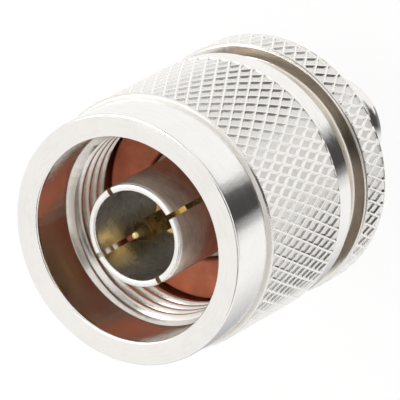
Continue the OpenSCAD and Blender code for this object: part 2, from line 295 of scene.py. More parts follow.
# %% [markdown]
# ## Rolled nickel
# The knurl is pressed in by two hard wheels, so it has no lathe rings. The wheels burnish the flanks of the
# pits until they mirror the room, while the narrow ridges and the bottoms of the pits stay satin and pale.
# The ridges also get a paler colour, a painted highlight.
# Each could have a finish of its own, but the change is softer than the edge of a face. Here a point's
# distance from the axis says whether it lies on a ridge, on a flank or at the bottom.

# %% Rolled nickel for the knurl
KNURL_DEPTH = 0.35
# Down a flank of a pit: the share of its half width, and the share of the knurl's depth above the root
PIT_SECTION = ((1.0, 1.0), (0.9, 0.94), (0.56, 0.48))
RIDGE_HIGHLIGHT = (0.97, 0.96, 0.945)
ROUGH_FADE = 0.02
RIDGE_SCATTER = 0.8
BOTTOM_SCATTER = 0.5
PRESSED_GRAIN = {"fine": 9.0, "detail": 3.0}
PRESSED_PATCHES = {"fine": 0.8, "detail": 2.0}
RIDGE_HIGHLIGHT_WEIGHT = 0.75
NOISE_WEIGHT = 0.3
ROLLED_TONES = (0.2, 0.95)
BURNISHED_GLOSS = 0.16
SATIN_DULL = 0.44
GRAIN_DULL = 0.06
GRAIN_DULLING = (0.4, 0.8)
GRAIN_RELIEF = 0.006

root_r = crest_r - KNURL_DEPTH
pit_spreads = [spread for spread, _ in PIT_SECTION]
pit_radii = [root_r + rise * KNURL_DEPTH for _, rise in PIT_SECTION]


def rolled_nickel(name, ridge_r, bottom_r):
    """Nickel that is rough on the ridges and at the bottoms of the pits, and burnished between them."""
    material, tree = new_finish(name)
    place = place_in_mm(tree)
    radius = from_axis(place)
    ridge = radius.between(ridge_r - ROUGH_FADE, ridge_r)
    bottom = 1 - radius.between(bottom_r, bottom_r + ROUGH_FADE)
    grain = cloud_noise(tree, place, **PRESSED_GRAIN)
    patches = cloud_noise(tree, place, **PRESSED_PATCHES)
    weights = ridge * RIDGE_HIGHLIGHT_WEIGHT + grain * NOISE_WEIGHT + patches * NOISE_WEIGHT
    # Painted highlight: the ridges are tinted paler than the rest of the knurl.
    colour = weights.between(*ROLLED_TONES).tint(NICKEL_DARK, RIDGE_HIGHLIGHT)
    satin = ridge.at_least(bottom)
    gloss = BURNISHED_GLOSS + satin * SATIN_DULL + grain.between(*GRAIN_DULLING) * GRAIN_DULL
    metal = 1 - (ridge * RIDGE_SCATTER).at_least(bottom * BOTTOM_SCATTER)
    close_finish(tree, colour, gloss, bumped(tree, grain, GRAIN_RELIEF), metal)
    return material


knurl_nickel = rolled_nickel("rolled_nickel", pit_radii[1], pit_radii[-1])
print("Made", knurl_nickel.name, "for pits", round(crest_r - pit_radii[-1], 2), "mm deep")

# %% [markdown]
# ## Gold, bronze, rubber and white plastic
# The pins are gold over brass. The N pin has been mated often, so its shank is dull. Its cone is painted
# brown, a painted dark reflection, and only its very point is left gold. The saw slots of the contact sleeve
# show bare brass, and the springy retaining rings are bronze. The gasket is red-brown silicone with a powdery
# moulded skin, and the beads are white fluoroplastic, turned from rod and slightly waxy. Each could be one
# flat colour, but a fine noise and a soft, patchy one together give it the small changes that the eye
# expects.

# %% Gold, brass and bronze
GOLD_DARK = (0.36, 0.235, 0.08)
GOLD_LIGHT = (0.64, 0.46, 0.20)
SHANK_DARK = (0.60, 0.43, 0.16)
SHANK_LIGHT = (0.88, 0.68, 0.30)
CONE_DARK_REFLECTION = (0.15, 0.10, 0.045)
SAWN_DARK = (0.56, 0.42, 0.22)
SAWN_LIGHT = (0.78, 0.61, 0.36)
BRONZE_DARK = (0.36, 0.19, 0.08)
BRONZE_LIGHT = (0.60, 0.36, 0.18)
TOOL_RINGS = {"turns": 4.0, "fine": 12.0, "detail": 2.0}
TARNISH = {"fine": 1.3, "detail": 3.0}
TOOL_IN_TONE = 0.35
METAL_TONES = (0.3, 0.65)
TARNISH_DULLING = (0.35, 0.7)
POINT_LENGTH = 1.3
POINT_FADE = 0.3
UNPAINTED_TIP = 0.12


def turned_metal(name, dark, light, relief, gloss_range, tip=None):
    """A turned metal. The cone below a tip, given as its height, is painted brown as a dark reflection, apart
    from its very end.
    """
    material, tree = new_finish(name)
    place = place_in_mm(tree)
    rings = lathe_noise(tree, place, **TOOL_RINGS)
    tarnish = cloud_noise(tree, place, **TARNISH)
    colour = mixed(rings, tarnish, TOOL_IN_TONE).between(*METAL_TONES).tint(dark, light)
    gloss = tarnish.between(*TARNISH_DULLING).span(*gloss_range)
    if tip is not None:
        z = place[2]
        # Painted reflection: the cone is painted dark brown, and only its very end keeps the gold.
        cone = z.between(tip - POINT_LENGTH - POINT_FADE, tip - POINT_LENGTH + POINT_FADE)
        unpainted_end = z.between(tip - 2 * UNPAINTED_TIP, tip - UNPAINTED_TIP)
        colour = (cone * (1 - unpainted_end)).blend(colour, (*CONE_DARK_REFLECTION, 1))
    close_finish(tree, colour, gloss, bumped(tree, rings, relief), metallic=1.0)
    return material


PIN_RELIEF = 0.002
SPRING_RELIEF = 0.006
SAWN_RELIEF = 0.008
GOLD_GLOSS = (0.06, 0.12)
SHANK_GLOSS = (0.24, 0.34)
BRONZE_GLOSS = (0.25, 0.45)
SAWN_GLOSS = (0.45, 0.60)
pin_low, pin_tip, pin_shoulder_r = reach("n_pin")
gold = turned_metal("turned_gold", GOLD_DARK, GOLD_LIGHT, PIN_RELIEF, GOLD_GLOSS)
dull_gold_painted_cone = turned_metal("dull_gold_painted_cone", SHANK_DARK, SHANK_LIGHT, PIN_RELIEF, SHANK_GLOSS, pin_tip)
bronze = turned_metal("spring_bronze", BRONZE_DARK, BRONZE_LIGHT, SPRING_RELIEF, BRONZE_GLOSS)
sawn_brass = turned_metal("sawn_brass", SAWN_DARK, SAWN_LIGHT, SAWN_RELIEF, SAWN_GLOSS)
print("Made", gold.name, dull_gold_painted_cone.name, bronze.name, "and", sawn_brass.name)

# %% Rubber and white plastic
RUBBER_DARK = (0.68, 0.20, 0.102)
RUBBER_LIGHT = (0.94, 0.305, 0.156)
RUBBER_POWDER = {"fine": 14.0, "detail": 3.0}
RUBBER_BLOOM = {"fine": 0.7, "detail": 3.0}
POWDER_IN_TONE = 0.35
SOFT_RANGE = (0.3, 0.7)
RUBBER_GLOSS = (0.48, 0.68)
RUBBER_RELIEF = 0.010


def silicone_rubber(name):
    """Rubber with a powdery skin and paler patches of bloom."""
    material, tree = new_finish(name)
    place = place_in_mm(tree)
    powder = cloud_noise(tree, place, **RUBBER_POWDER)
    bloom = cloud_noise(tree, place, **RUBBER_BLOOM)
    colour = mixed(powder, bloom, POWDER_IN_TONE).between(*SOFT_RANGE).tint(RUBBER_DARK, RUBBER_LIGHT)
    gloss = powder.between(*SOFT_RANGE).span(*RUBBER_GLOSS)
    close_finish(tree, colour, gloss, bumped(tree, powder, RUBBER_RELIEF))
    return material


BEAD_SHADE = (0.72, 0.71, 0.67)
BEAD_WHITE = (0.86, 0.86, 0.84)
BEAD_RINGS = {"turns": 3.0, "fine": 9.0, "detail": 2.0}
BEAD_WAX = {"fine": 0.9, "detail": 2.0}
BEAD_TONES = (0.25, 0.65)
BEAD_GLOSS = (0.32, 0.48)
BEAD_RELIEF = 0.004


def white_plastic(name):
    """Waxy white plastic with the marks of the lathe."""
    material, tree = new_finish(name)
    place = place_in_mm(tree)
    rings = lathe_noise(tree, place, **BEAD_RINGS)
    wax = cloud_noise(tree, place, **BEAD_WAX)
    colour = mixed(rings, wax, RINGS_IN_TONE).between(*BEAD_TONES).tint(BEAD_SHADE, BEAD_WHITE)
    gloss = wax.between(*SOFT_RANGE).span(*BEAD_GLOSS)
    close_finish(tree, colour, gloss, bumped(tree, rings, BEAD_RELIEF))
    return material


rubber = silicone_rubber("silicone_rubber")
plastic = white_plastic("white_fluoroplastic")
print("Made", rubber.name, "and", plastic.name)

# %% [markdown]
# ## Turning a profile
# Nearly every piece here is turned on a lathe, so it is drawn the same way: half a cross-section, as corners
# with a radius each, spun round the axis. Blender's Screw modifier does that too, but the threads need rings
# whose height climbs as they go round, so the rings are laid in code. Broken edges matter: they catch the
# light.

# %% Round the corners of a profile
ARC_STEPS = 4


def eased(corners, closed=False):
    """The points of a profile of (radius, height, easing) corners, in millimetres, with an arc at each."""
    points = []
    count = len(corners)
    for i, (r, z, easing) in enumerate(corners):
        if easing == 0 or (not closed and i in (0, count - 1)):
            points.append((r, z))
            continue
        here = Vector((r, z))
        back = (Vector(corners[i - 1][:2]) - here).normalized()
        on = (Vector(corners[(i + 1) % count][:2]) - here).normalized()
        half = back.angle(on) / 2
        centre = here + (back + on).normalized() * (easing / math.sin(half))
        first = here + back * (easing / math.tan(half)) - centre
        sweep = first.angle_signed(here + on * (easing / math.tan(half)) - centre)
        for k in range(ARC_STEPS + 1):
            turn = Matrix.Rotation(-sweep * k / ARC_STEPS, 2)
            points.append(tuple(centre + turn @ first))
    return points


def even_angles(count):
    """Angles of this many columns, evenly spread round the axis."""
    return np.arange(count) * (math.tau / count)


def ring_at(r, z, angles):
    """One ring of the lathe, as an array of columns by (x, y, z). The radius may differ by column."""
    return np.stack((r * np.cos(angles), r * np.sin(angles), np.full(len(angles), z)), 1)


print("An eased corner has", ARC_STEPS + 1, "points")

# %% Skin rings
def skin(rings, closed=False):
    """The points and four-sided faces of a skin over rings, the last joined to the first if closed."""
    columns = len(rings[0])
    count = len(rings)
    points = np.concatenate(rings)
    faces = []
    for i in range(count if closed else count - 1):
        low = i * columns
        high = (i + 1) % count * columns
        for j in range(columns):
            k = (j + 1) % columns
            faces.append((low + j, low + k, high + k, high + j))
    return points, faces


def turned_skin(profile, angles, finish, closed=False):
    """The points, the faces and the finish of a profile that is spun round the axis."""
    return (*skin([ring_at(r, z, angles) for r, z in profile], closed), finish)


print("Skins ready, to be welded into pieces")

# %% Weld skins into a piece and fit it to the frame
WELD = 0.0005
SLIVER = WELD / 10
SHARP = math.radians(32)


def in_scene(name, data):
    """A new object for a mesh, a lamp or a camera, linked into the scene."""
    made = bpy.data.objects.new(name, data)
    bpy.context.scene.collection.objects.link(made)
    return made


def piece_of(name, skins, crisp=None):
    """One closed piece from (points, faces, finish) skins, welded, with its faces turned outwards.

    Every edge within the skins of the crisp finish is shaded as sharp, and elsewhere the steep ones.
    """
    shape = bmesh.new()
    finishes = []
    for points, faces, finish in skins:
        if finish not in finishes:
            finishes.append(finish)
        corners = [shape.verts.new(Vector(point) * MM) for point in points.tolist()]
        for face in faces:
            shape.faces.new([corners[i] for i in face]).material_index = finishes.index(finish)
    bmesh.ops.remove_doubles(shape, verts=shape.verts, dist=WELD * MM)
    bmesh.ops.dissolve_degenerate(shape, edges=shape.edges, dist=SLIVER * MM)
    bmesh.ops.recalc_face_normals(shape, faces=shape.faces)
    for face in shape.faces:
        face.smooth = True
    for edge in shape.edges:
        faceted = all(finishes[face.material_index] == crisp for face in edge.link_faces)
        edge.smooth = not faceted and edge.calc_face_angle(0) < SHARP
    mesh = bpy.data.meshes.new(name)
    shape.to_mesh(mesh)
    open_edges = sum(1 for edge in shape.edges if not edge.is_manifold)
    shape.free()
    for finish in finishes:
        mesh.materials.append(finish)
    triangles = sum(len(face.vertices) - 2 for face in mesh.polygons)
    print(name, "has", triangles, "triangles and", open_edges, "open edges")
    return in_scene(name, mesh)


def fit(piece, node, body):
    """The piece stands for a CAD node, which it hides, and rides on its body."""
    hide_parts(node)
    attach(piece, body)


print("Skins are welded within", WELD, "mm, and edges are sharp from", round(math.degrees(SHARP)), "degrees")

# %% [markdown]
# ## The knurl, with Geometry Nodes
# Two hard wheels press rows of little pits into the nut, and the metal that they push aside stands up between
# the pits as two sets of crossing ridges. Every pit is the same, so one is drawn, with narrow ridges,
# steep flat flanks and a flat bottom, and Geometry Nodes sets a copy at each place: row after row up the nut,
# every other row moved on by half a step. An array of objects could do it too, but the tree keeps the count
# and the spacing as inputs. The rows at the two ends use half pits, which close on a smooth shoulder as the
# real ones do, where the wheels ran out before the edge of the raised band.

# %% Draw one pit
KNURL_COUNT = 63
KNURL_LEAN = math.radians(28.5)
PIT_CORNERS = ((-1, 0), (0, 1), (1, 0), (0, -1))
half_step = math.pi / KNURL_COUNT
row_height = half_step * crest_r / math.tan(KNURL_LEAN)


def pit_corner(shape, step, height, r):
    """A point of a pit: its angle in half steps, its height in millimetres and its radius."""
    angle = step * half_step
    return shape.verts.new(Vector((r * math.cos(angle), r * math.sin(angle), height)) * MM)


def pit_bowl(shape, corners, first):
    """The loops of a pit, from its ridges down to its flat bottom, with flanks from the first corner on."""
    loops = []
    for spread, r in zip(pit_spreads, pit_radii):
        tall = spread * row_height
        loops.append([pit_corner(shape, spread * step, tall * rise, r) for step, rise in corners])
    for outer, inner in zip(loops, loops[1:]):
        for i in range(first, len(outer)):
            shape.faces.new((outer[i - 1], outer[i], inner[i], inner[i - 1]))
    shape.faces.new(loops[-1])
    return loops


def pit_object(name, shape):
    """An object, outside the scene, of what was drawn."""
    mesh = bpy.data.meshes.new(name)
    shape.to_mesh(mesh)
    shape.free()
    return bpy.data.objects.new(name, mesh)


def whole_pit():
    """A pit at angle 0, with all its four flanks."""
    shape = bmesh.new()
    pit_bowl(shape, PIT_CORNERS, 0)
    return pit_object("pit", shape)


print("Each pit is", round(2 * half_step * crest_r, 2), "by", round(2 * row_height, 2), "mm")

# %% Draw the half pits of the ends
SHOULDER_DROP = 0.05
UPPER_CORNERS = PIT_CORNERS[:-1]
# On the way to the shoulder: the share of the way, and how much of the pit is left there
PIT_CLOSING = ((0.5, 0.9), (0.85, 0.5), (1.0, 0.0))
# Down the shoulder: the share of its length from the end, and how far it stands out there
SHOULDER_SECTION = ((0.6, 0.97), (0.25, 0.72), (0.0, 0.0))
shoulder_r = crest_r - SHOULDER_DROP
across_steps = [-spread for spread in pit_spreads] + pit_spreads[::-1]
across_radii = pit_radii + pit_radii[::-1]


def half_pit(name, lead, shoulder, end_r):
    """The upper half of a pit, closed on a smooth shoulder that drops to a radius at the knurl's end."""
    shape = bmesh.new()
    loops = pit_bowl(shape, UPPER_CORNERS, 1)
    gap = lead - shoulder
    rows = []
    for share, keep in PIT_CLOSING:
        rows.append((-share * gap, [shoulder_r + (r - shoulder_r) * keep for r in across_radii]))
    for up, rise in SHOULDER_SECTION:
        rows.append((up * shoulder - lead, [end_r + (shoulder_r - end_r) * rise] * len(across_steps)))
    upper = [loop[0] for loop in loops] + [loop[2] for loop in reversed(loops)]
    for height, radii in rows:
        lower = [pit_corner(shape, step, height, r) for step, r in zip(across_steps, radii)]
        for i in range(1, len(lower)):
            shape.faces.new((upper[i - 1], upper[i], lower[i], lower[i - 1]))
        upper = lower
    return pit_object(name, shape)


print("A half pit closes in", len(PIT_CLOSING) + len(SHOULDER_SECTION), "rows")

# %% The tree that sets the pits in rows
KNURL_INPUTS = {
    "Pit": "NodeSocketObject",
    "Low pit": "NodeSocketObject",
    "High pit": "NodeSocketObject",
    "Pits round": "NodeSocketInt",
    "Steps up": "NodeSocketInt",
    "Row height": "NodeSocketFloat",
    "First row": "NodeSocketFloat",
    "Finish": "NodeSocketMaterial",
}


def knurl_tree():
    """Geometry Nodes that set pits in staggered rows round the Z axis, with half pits at both ends."""
    tree = bpy.data.node_groups.new("knurl", "GeometryNodeTree")
    sockets = {}
    for name, kind in KNURL_INPUTS.items():
        sockets[name] = tree.interface.new_socket(name, in_out="INPUT", socket_type=kind)
    tree.interface.new_socket("Geometry", in_out="OUTPUT", socket_type="NodeSocketGeometry")
    start = Wire(tree)
    given = {name: start.node("NodeGroupInput", {}, {}, name) for name in KNURL_INPUTS}
    index = start.node("GeometryNodeInputIndex", {}, {})
    around = given["Pits round"]
    row = index // around
    last = given["Steps up"]

    def field(kind, count, step, flip):
        """Rows of one kind of pit, from a step upwards, each pit turned to its own angle."""
        height = given["First row"] + step * given["Row height"]
        spot = start.node("ShaderNodeCombineXYZ", {}, {"Z": height})
        angle = (index % around * 2 + step % 2) * math.pi / around
        turn = start.node("ShaderNodeCombineXYZ", {}, {"X": flip, "Z": angle})
        points = start.node("GeometryNodePoints", {}, {"Count": count, "Position": spot})
        shape = start.node("GeometryNodeObjectInfo", {}, {"Object": given[kind]}, "Geometry")
        placed = {"Points": points, "Instance": shape, "Rotation": turn}
        return start.node("GeometryNodeInstanceOnPoints", {}, placed)

    inner = field("Pit", around * (last - 1), row + 1, 0.0)
    lowest = field("Low pit", around, row, 0.0)
    highest = field("High pit", around, row + last, math.pi)
    joined = start.node("GeometryNodeJoinGeometry", {}, {})
    for part in (inner, lowest, highest):
        tree.links.new(part.socket, joined.socket.node.inputs[0])
    real = start.node("GeometryNodeRealizeInstances", {}, {"Geometry": joined})
    painted = start.node("GeometryNodeSetMaterial", {}, {"Geometry": real, "Material": given["Finish"]})
    start.node("NodeGroupOutput", {}, {"Geometry": painted})
    return tree, sockets


knurl_nodes, knurl_sockets = knurl_tree()
print("Knurl tree has", len(knurl_nodes.nodes), "nodes")

# %% Roll both knurls
KNURL_LEAD = 0.3
KNURL_INSET = 0.05
MAIN_SHOULDER = 0.2
REAR_SHOULDER = 0.09


def rolled_knurl(low, high, shoulder, low_r, high_r):
    """Points in millimetres and faces of the knurl between two heights, with the radius of each end."""
    length = high - low
    steps = math.floor((length - 2 * KNURL_LEAD) / row_height)
    lead = (length - steps * row_height) / 2
    pits = {
        "Pit": whole_pit(),
        "Low pit": half_pit("low_pit", lead, shoulder, low_r),
        "High pit": half_pit("high_pit", lead, shoulder, high_r),
    }
    sizes = {
        "Pits round": KNURL_COUNT,
        "Steps up": steps,
        "Row height": row_height * MM,
        "First row": (low + lead) * MM,
        "Finish": knurl_nickel,
    }
    holder = in_scene("knurl_holder", bpy.data.meshes.new("knurl_holder"))
    modifier = holder.modifiers.new("knurl", "NODES")
    modifier.node_group = knurl_nodes
    for name, value in (pits | sizes).items():
        modifier[knurl_sockets[name].identifier] = value
    seen = holder.evaluated_get(bpy.context.evaluated_depsgraph_get())
    mesh = bpy.data.meshes.new_from_object(seen)
    points = np.array([vertex.co for vertex in mesh.vertices]) / MM
    faces = [tuple(face.vertices) for face in mesh.polygons]
    holder.modifiers.remove(modifier)
    for spent in (holder, *pits.values()):
        bpy.data.objects.remove(spent)
    print("Knurl with", steps + 1, "rows:", len(faces), "faces")
    return points, faces


band_start_r = BAND_R - KNURL_INSET
collar_start_r = COLLAR_R - KNURL_INSET
main_knurl = rolled_knurl(knurl_low, knurl_top, MAIN_SHOULDER, collar_start_r, band_start_r)
rear_knurl = rolled_knurl(rear_low, rear_top, REAR_SHOULDER, collar_start_r, collar_start_r)

# %% [markdown]
# ## Threads
# Each nut screws onto its jack by an inside thread. A Screw modifier could wind a tooth round the axis, but
# its two ends would hang open. Here a thread is made of rings whose height climbs by one pitch in each turn,
# which keeps its crests and roots crisp. Past the thread's ends each ring is held at the end's height, where
# it closes on a cone that opens the thread, as the boring tool leaves it.

# %% Rings of an inside thread
CREST_SHARE = 0.30
ROOT_SHARE = 0.12
FLANK_SHARE = (1 - CREST_SHARE - ROOT_SHARE) / 2
CREST_EASE = 0.035
EASED_DEPTH = 0.06
MIDDLE_DEPTH = 0.52
# Across one turn: the share of the pitch, and the depth as a share of the way from crest to root
THREAD_SECTION = (
    (0.0, EASED_DEPTH),
    (CREST_EASE, 0.0),
    (CREST_SHARE - CREST_EASE, 0.0),
    (CREST_SHARE, EASED_DEPTH),
    (CREST_SHARE + FLANK_SHARE / 2, MIDDLE_DEPTH),
    (CREST_SHARE + FLANK_SHARE, 1.0),
    (CREST_SHARE + FLANK_SHARE + ROOT_SHARE, 1.0),
    (1 - FLANK_SHARE / 2, MIDDLE_DEPTH),
)


def thread_rings(crest, root, pitch, low, high, angles):
    """Rings of a right-handed inside thread between two heights, opened to the root by a cone at each end."""
    angle = np.append(angles, angles[0] + math.tau)
    turns = math.ceil((high - low) / pitch) + 2
    rings = []
    for turn in range(turns):
        for share, depth in THREAD_SECTION:
            climb = low + (turn - 1 + share + angle / math.tau) * pitch
            height = np.clip(climb, low, high)
            cone = root - np.minimum(height - low, high - height)
            radius = np.maximum(crest + (root - crest) * depth, np.maximum(cone, crest))
            rings.append(np.stack((radius * np.cos(angle), radius * np.sin(angle), height), 1))
    return rings


def thread_skin(crest, root, pitch, low, high, angles):
    """Points and faces of the thread. A turn's last column meets the next turn's first."""
    rings = thread_rings(crest, root, pitch, low, high, angles)
    columns = len(angles)
    width = columns + 1
    faces = []
    for i in range(len(rings) - 1):
        for j in range(columns):
            a = i * width + j
            faces.append((a, a + 1, a + width + 1, a + width))
    return np.concatenate(rings), faces


print("A turn of thread is", len(THREAD_SECTION), "rings")

# %% [markdown]
# ## The big coupling nut
# One piece of brass: a smooth front band, the long knurl, a smooth collar, a square-cut groove and a short
# knurl. Inside come the smooth mouth, the thread, and a bore that runs on the body. Separate rings would be
# easier to draw, but would show seams. So the turned skins are drawn as profiles, left open where the knurls
# and the thread go, and all of them are welded into one closed piece.

# %% Heights and radii of the big nut
INCH = 25.4
N_THREAD_R = 7.9375
N_CREST_R = 7.42
N_PITCH = INCH / 24
N_THREAD_LENGTH = 4.4
MOUTH_R = 8.02
MOUTH_LENGTH = 4.0
GROOVE_DEPTH = 1.0
NECK_R = 6.4
RUNNING_GAP = 0.06
AXIAL_PLAY = 0.15
RELIEF_DEPTH = 0.15
FLANGE_LENGTH = 1.5

ring_low, ring_high, _ = reach("n_retaining_ring")
body_low, body_top, flange_r = reach("adapter_body")
flange_back = body_top - FLANGE_LENGTH
mouth_low = nut_front - MOUTH_LENGTH
thread_top = mouth_low - (MOUTH_R - N_THREAD_R)
thread_low = mouth_low - (MOUTH_R - N_CREST_R) - N_THREAD_LENGTH
floor_r = COLLAR_R - GROOVE_DEPTH
relief_r = N_THREAD_R + RELIEF_DEPTH
bore_r = NECK_R + RUNNING_GAP
lip_height = flange_back - AXIAL_PLAY
ring_room_low = ring_low - AXIAL_PLAY
ring_room_high = ring_high + 2 * AXIAL_PLAY
print("N thread from", round(thread_low, 2), "to", round(thread_top, 2), "mm")

# %% Profiles of the big nut
RING_GROOVE_R = 7.1
GROOVE_ROUND = 0.25
EDGE_EASE = 0.20
MOUTH_EASE = 0.18
SMALL_EASE = 0.05
FINE_EASE = 0.03

mouth_top = nut_front - 2 * MOUTH_EASE
front_profile = eased([
    (band_start_r, knurl_top, 0),
    (BAND_R, knurl_top, FINE_EASE),
    (BAND_R, nut_front, EDGE_EASE),
    (MOUTH_R, nut_front, MOUTH_EASE),
    (MOUTH_R, mouth_top, 0),
])
mouth_profile = eased([
    (MOUTH_R, mouth_top, 0),
    (MOUTH_R, mouth_low, SMALL_EASE),
    (N_THREAD_R, thread_top, 0),
])
bore_profile = eased([
    (N_THREAD_R, thread_low, 0),
    (relief_r, thread_low, 0),
    (relief_r, lip_height, SMALL_EASE),
    (bore_r, lip_height, SMALL_EASE),
    (bore_r, ring_room_high, 0),
    (RING_GROOVE_R, ring_room_high, 0),
    (RING_GROOVE_R, ring_room_low, 0),
    (bore_r, ring_room_low, 0),
    (bore_r, nut_back, SMALL_EASE),
    (COLLAR_R, nut_back, SMALL_EASE),
    (COLLAR_R, rear_low, FINE_EASE),
    (collar_start_r, rear_low, 0),
])
collar_profile = eased([
    (collar_start_r, knurl_low, 0),
    (COLLAR_R, knurl_low, FINE_EASE),
    (COLLAR_R, groove_top, SMALL_EASE),
    (floor_r, groove_top, GROOVE_ROUND),
    (floor_r, groove_low, GROOVE_ROUND),
    (COLLAR_R, groove_low, SMALL_EASE),
    (COLLAR_R, rear_top, FINE_EASE),
    (collar_start_r, rear_top, 0),
])
print("The bore's profile has", len(bore_profile), "points, the collar's", len(collar_profile))

# %% Weld the big nut
NUT_ANGLES = np.array([(2 * i + step) * half_step for i in range(KNURL_COUNT) for step in across_steps[:-1]])
n_thread = thread_skin(N_CREST_R, N_THREAD_R, N_PITCH, thread_low, thread_top, NUT_ANGLES)
big_nut = piece_of("big_coupling_nut", [
    turned_skin(front_profile, NUT_ANGLES, nickel),
    turned_skin(collar_profile, NUT_ANGLES, collar_nickel),
    (*main_knurl, knurl_nickel),
    (*rear_knurl, knurl_nickel),
    turned_skin(mouth_profile, NUT_ANGLES, nickel_inside),
    (*n_thread, nickel_inside),
    turned_skin(bore_profile, NUT_ANGLES, nickel_inside),
], crisp=knurl_nickel)
fit(big_nut, "n_coupling_nut", "n_nut")

# %% [markdown]
# ## The slotted contact sleeve
# The N plug's outer contact is a thin sleeve, sawn into four springy leaves, with a rounded lip. Its nickel
# is duller outside, and painted brown there as painted shade deep in the mouth; the lip is left bright. A
# Boolean could saw it, but leaves ragged faces on a curved wall. Here the columns of the lathe are placed so
# that some fall on the saw cuts, and the faces in a cut are simply left out and walled in.

# %% Sizes and columns of the sleeve
SLEEVE_R = 4.06
SLEEVE_BORE_R = 3.5
SLEEVE_EASE = 0.18
SLOT_COUNT = 4
SLOT_WIDTH = 0.4
SLOT_LENGTH = 6.0
BASE_DROP = 0.4
LEAF_COLUMNS = 40

sleeve_back, contact_front, sleeve_base_r = reach("outer_contact")
gasket_low, gasket_high, gasket_r = reach("gasket")
base_top = gasket_high - BASE_DROP
slot_low = contact_front - SLOT_LENGTH
sleeve_columns = SLOT_COUNT * (LEAF_COLUMNS + 1)


def leaf_angle(step, r):
    """Angle of a column of the sleeve. Each quarter has its leaf's columns, and both walls of a saw cut."""
    quarter, place = divmod(step, LEAF_COLUMNS + 1)
    wall = math.asin(SLOT_WIDTH / 2 / r)
    leaf = math.tau / SLOT_COUNT - 2 * wall
    return (quarter + 0.5) * math.tau / SLOT_COUNT + wall + leaf * place / LEAF_COLUMNS


def sleeve_ring(r, z):
    """A ring of the sleeve, with its columns moved to the walls of the saw cuts."""
    angles = [leaf_angle(step, r) for step in range(sleeve_columns)]
    return np.array([(r * math.cos(a), r * math.sin(a), z) for a in angles])


print("Sleeve of", sleeve_columns, "columns, slots down to", round(slot_low, 2), "mm")

# %% Worn nickel of the sleeve
SLEEVE_SHADE_DARK = (0.40, 0.345, 0.295)
SLEEVE_SHADE_LIGHT = (0.58, 0.52, 0.46)
SLEEVE_RINGS = {"turns": 6.0, "fine": 7.0, "detail": 2.0}
SLEEVE_TARNISH = {"fine": 0.9, "detail": 3.0}
UNSHADED_LIP = (3 * SLEEVE_EASE, SLEEVE_EASE)
WALL_FADE = (SLEEVE_EASE, SLEEVE_EASE / 3)
SLEEVE_GLOSS = 0.26
TARNISH_DULL = 0.10
PATCH_DULL = 0.06
PATCH_DULLING = (0.4, 0.7)
SLEEVE_RELIEF = 0.003


def sleeve_with_painted_shade(name):
    """Nickel that is duller outside the sleeve, with painted brown shade there, and left bright at its lip
    and inside.
    """
    material, tree = new_finish(name)
    place = place_in_mm(tree)
    rings = lathe_noise(tree, place, **SLEEVE_RINGS)
    tarnish = cloud_noise(tree, place, **SLEEVE_TARNISH)
    tone = mixed(rings, tarnish, RINGS_IN_TONE).between(*METAL_TONES)
    # Painted shade: below its lip, the outside of the sleeve is painted darker and browner.
    lip = place[2].between(*[contact_front - drop for drop in UNSHADED_LIP])
    outside = from_axis(place).between(*[SLEEVE_R - inset for inset in WALL_FADE])
    dull_and_shaded = outside * (1 - lip)
    colour = dull_and_shaded.blend(tone.tint(NICKEL_DARK, NICKEL_LIGHT), tone.tint(SLEEVE_SHADE_DARK, SLEEVE_SHADE_LIGHT))
    gloss = SLEEVE_GLOSS + dull_and_shaded * TARNISH_DULL + tarnish.between(*PATCH_DULLING) * PATCH_DULL
    close_finish(tree, colour, gloss, bumped(tree, rings, SLEEVE_RELIEF), metallic=1.0)
    return material


sleeve_nickel = sleeve_with_painted_shade("sleeve_nickel_painted_shade")
print("Made", sleeve_nickel.name)

# %% Sections of the sleeve
SLEEVE_ROWS = 10
wall_top = contact_front - SLEEVE_EASE * 2


def wall_rows(r):
    """Points up a wall of the sleeve, from the bottom of the slots to the start of the lip."""
    return [(r, slot_low + (wall_top - slot_low) * k / SLEEVE_ROWS) for k in range(SLEEVE_ROWS + 1)]


lip_section = eased([
    (SLEEVE_R, wall_top, 0),
    (SLEEVE_R, contact_front, SLEEVE_EASE),
    (SLEEVE_BORE_R, contact_front, SLEEVE_EASE),
    (SLEEVE_BORE_R, wall_top, 0),
])
leaf_section = wall_rows(SLEEVE_R)[:-1] + lip_section + wall_rows(SLEEVE_BORE_R)[-2::-1]
base_section = eased([
    (SLEEVE_BORE_R, slot_low, 0),
    (SLEEVE_BORE_R, sleeve_back, SMALL_EASE),
    (sleeve_base_r, sleeve_back, SMALL_EASE),
    (sleeve_base_r, base_top, SMALL_EASE),
    (SLEEVE_R, base_top, 0),
    (SLEEVE_R, slot_low, 0),
])
print("A leaf's section has", len(leaf_section), "points")

# %% Saw the sleeve
leaf_points = np.concatenate([sleeve_ring(r, z) for r, z in leaf_section])
leaf_faces = []
saw_faces = []
rows = len(leaf_section)
for j in range(sleeve_columns):
    k = (j + 1) % sleeve_columns
    in_cut = j % (LEAF_COLUMNS + 1) == LEAF_COLUMNS
    if in_cut:
        last_row = (rows - 1) * sleeve_columns
        saw_faces.append([row * sleeve_columns + j for row in range(rows)])
        saw_faces.append([row * sleeve_columns + k for row in reversed(range(rows))])
        saw_faces.append((j, k, last_row + k, last_row + j))
        continue
    for row in range(rows - 1):
        low = row * sleeve_columns
        leaf_faces.append((low + j, low + k, low + sleeve_columns + k, low + sleeve_columns + j))
sleeve = piece_of("slotted_contact_sleeve", [
    (leaf_points, leaf_faces, sleeve_nickel),
    (leaf_points, saw_faces, sawn_brass),
    (*skin([sleeve_ring(r, z) for r, z in base_section]), sleeve_nickel),
])
fit(sleeve, "outer_contact", "adapter")

